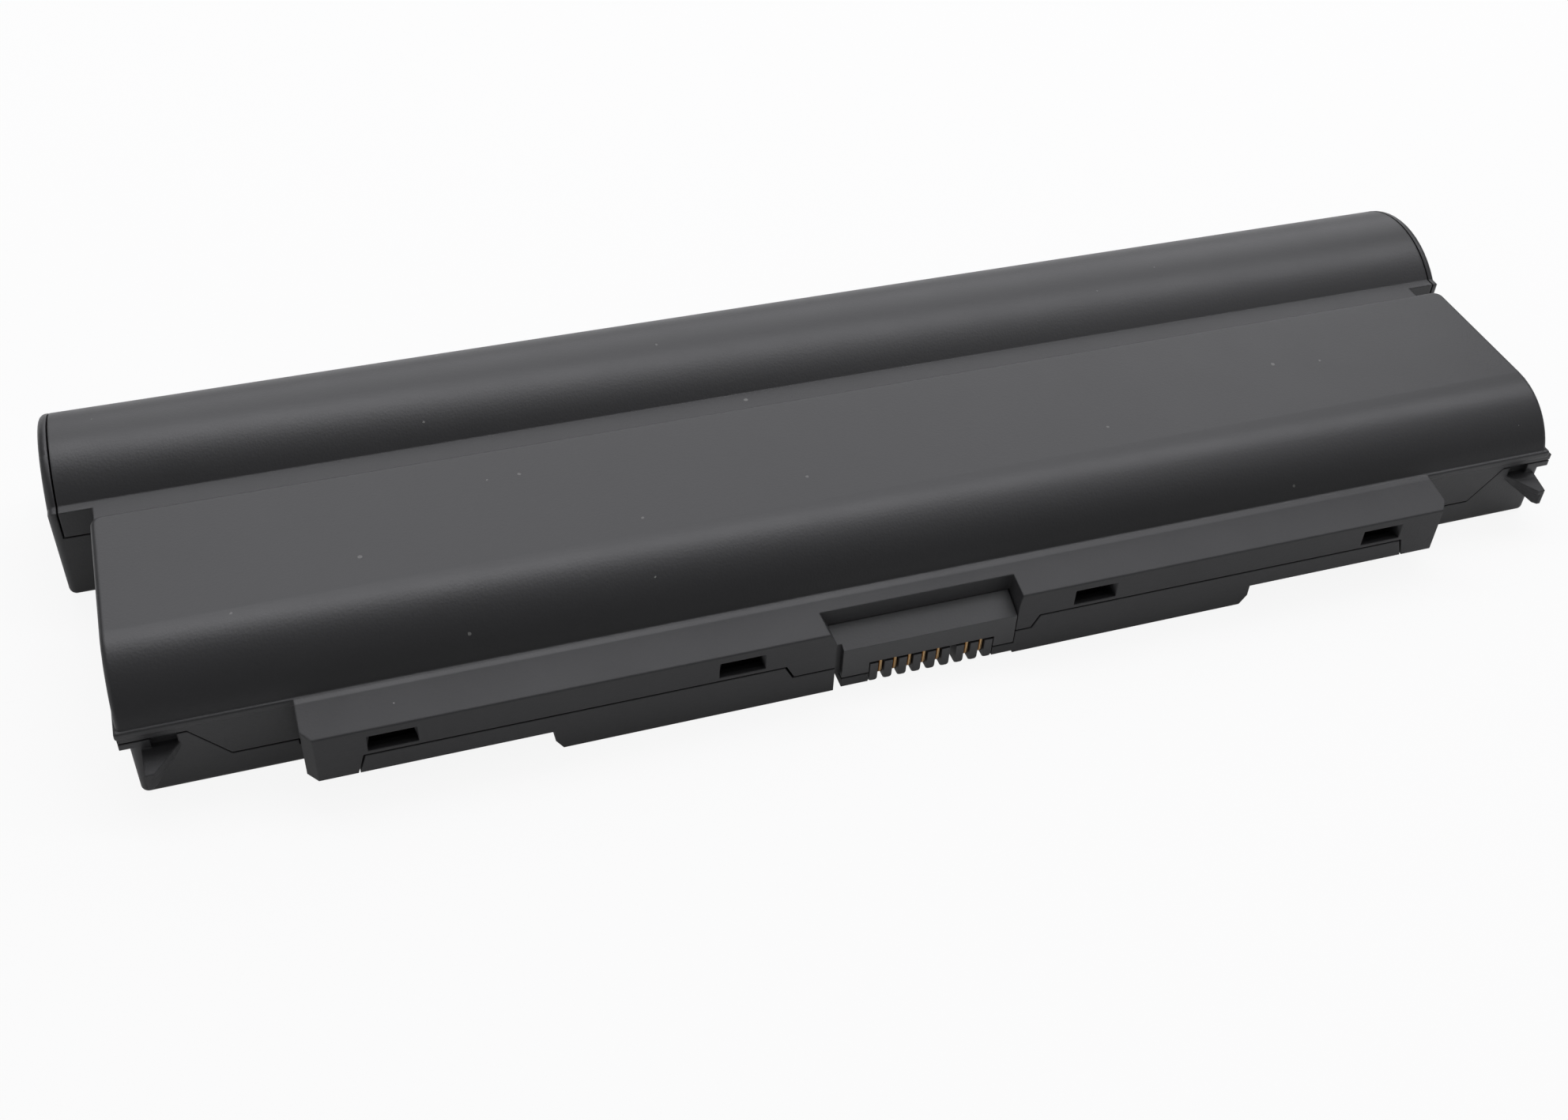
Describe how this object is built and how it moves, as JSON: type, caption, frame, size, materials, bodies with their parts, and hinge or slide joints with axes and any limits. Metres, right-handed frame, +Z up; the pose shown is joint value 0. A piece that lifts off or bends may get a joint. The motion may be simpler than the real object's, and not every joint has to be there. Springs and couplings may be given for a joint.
{
  "type": "laptop battery",
  "caption": "Long plastic laptop battery pack: rounded slab with a raised round-backed rear bulge, and a front tongue with latch slots and a keyed contact comb.",
  "frame": {"origin": "centre of the bounding box at the flat underside", "axes": "+X along the length to the right of the connector edge, +Y from the connector edge to the rear bulge, +Z up out of the plateau"},
  "size_m": [0.2802, 0.09, 0.0247],
  "materials": {
    "case_plastic": "fine matte moulded grain",
    "connector_plastic": "smooth matte moulded",
    "contact_gold": "gold plated",
    "cell_sleeve": "shrink sleeve",
    "nickel": "rolled nickel",
    "board_laminate": "solder mask",
    "chip_resin": "moulded resin",
    "fuse_ceramic": "plain",
    "shunt_metal": "rolled",
    "bead_resin": "dipped resin",
    "foam": "closed-cell foam"
  },
  "bodies": {
    "root": {"upper_shell": "case_plastic", "lower_shell": "case_plastic", "connector_housing": "connector_plastic", "contact_1": "contact_gold", "contact_2": "contact_gold", "contact_3": "contact_gold", "contact_4": "contact_gold", "contact_5": "contact_gold", "contact_6": "contact_gold", "contact_7": "contact_gold", "cell_front_left": "cell_sleeve", "cell_front_centre": "cell_sleeve", "cell_front_right": "cell_sleeve", "cell_middle_left": "cell_sleeve", "cell_middle_centre": "cell_sleeve", "cell_middle_right": "cell_sleeve", "cell_rear_left": "cell_sleeve", "cell_rear_centre": "cell_sleeve", "cell_rear_right": "cell_sleeve", "strip_negative": "nickel", "strip_lower_tap": "nickel", "strip_upper_tap": "nickel", "strip_positive": "nickel", "lead_negative": "nickel", "lead_positive": "nickel", "circuit_board": "board_laminate", "gauge_chip": "chip_resin", "switch_charge": "chip_resin", "switch_discharge": "chip_resin", "fuse": "fuse_ceramic", "shunt": "shunt_metal", "thermistor": "bead_resin", "foam_front": "foam", "foam_middle": "foam", "foam_rear": "foam"}
  },
  "joints": []
}
